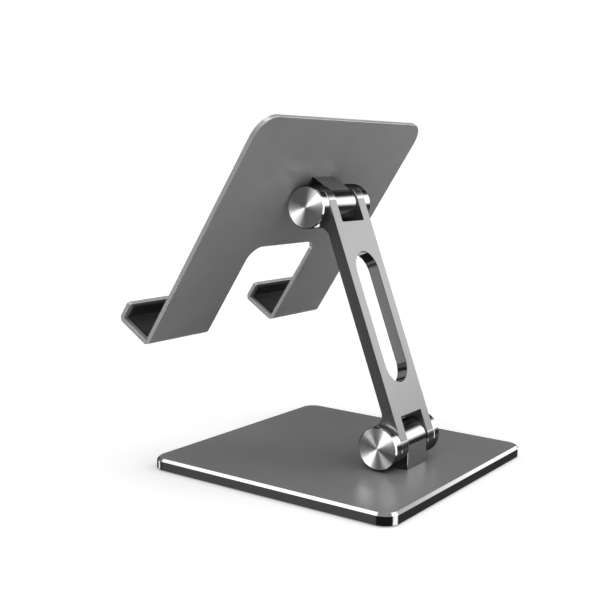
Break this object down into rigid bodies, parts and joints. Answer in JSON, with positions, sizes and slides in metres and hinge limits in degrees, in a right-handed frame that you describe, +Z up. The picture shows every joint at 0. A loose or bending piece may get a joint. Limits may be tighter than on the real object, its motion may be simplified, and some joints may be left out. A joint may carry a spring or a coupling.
{
  "type": "tablet stand",
  "caption": "Folding desk stand: a flat base, a slotted arm on a friction hinge, and a tilting panel with hooks that hold a tablet.",
  "frame": {"origin": "middle of the base's underside, on the desk", "axes": "+Z up, +Y towards the back of the stand where the hinge is, +X along both hinge axes, to the right of a person reading the tablet"},
  "size_m": [0.1516, 0.1588, 0.179],
  "materials": {
    "dark_anodised": "matt blasted and anodised dark grey",
    "light_anodised": "matt blasted and anodised light grey",
    "polished_block": "polished, dark plated",
    "turned_cap": "fine turned face with a polished chamfer",
    "bush_bronze": "plain bronze",
    "fastener_steel": "zinc plated",
    "spring_steel": "oiled spring steel",
    "friction_plastic": "plain low-wear plastic",
    "silicone": "matt moulded silicone"
  },
  "bodies": {
    "base": {"base_plate": "dark_anodised", "base_pad": "silicone", "base_screws": "fastener_steel", "lower_hinge_block": "polished_block", "lower_bush": "bush_bronze"},
    "arm": {"arm": "light_anodised", "lower_bolt": "fastener_steel", "lower_head_washer": "fastener_steel", "lower_friction_washers": "friction_plastic", "lower_disc_springs": "spring_steel", "lower_lock_nut": "fastener_steel", "lower_right_cap": "turned_cap", "lower_left_cap": "turned_cap", "upper_bolt": "fastener_steel", "upper_head_washer": "fastener_steel", "upper_friction_washers": "friction_plastic", "upper_disc_springs": "spring_steel", "upper_lock_nut": "fastener_steel", "upper_right_cap": "turned_cap", "upper_left_cap": "turned_cap"},
    "panel": {"panel": "dark_anodised", "upper_hinge_block": "polished_block", "upper_bush": "bush_bronze", "panel_screws": "fastener_steel", "panel_pad": "silicone", "hook_pads": "silicone"}
  },
  "joints": [
    {"name": "lower_hinge", "type": "hinge", "parent": "base", "child": "arm", "pos_m": [0, 0.03345, 0.0181], "axis": [1, 0, 0], "range_deg": [-51.6, 23.4]},
    {"name": "upper_hinge", "type": "hinge", "parent": "arm", "child": "panel", "pos_m": [0, -0.01264, 0.13451], "axis": [1, 0, 0], "range_deg": [-126, 75]}
  ]
}
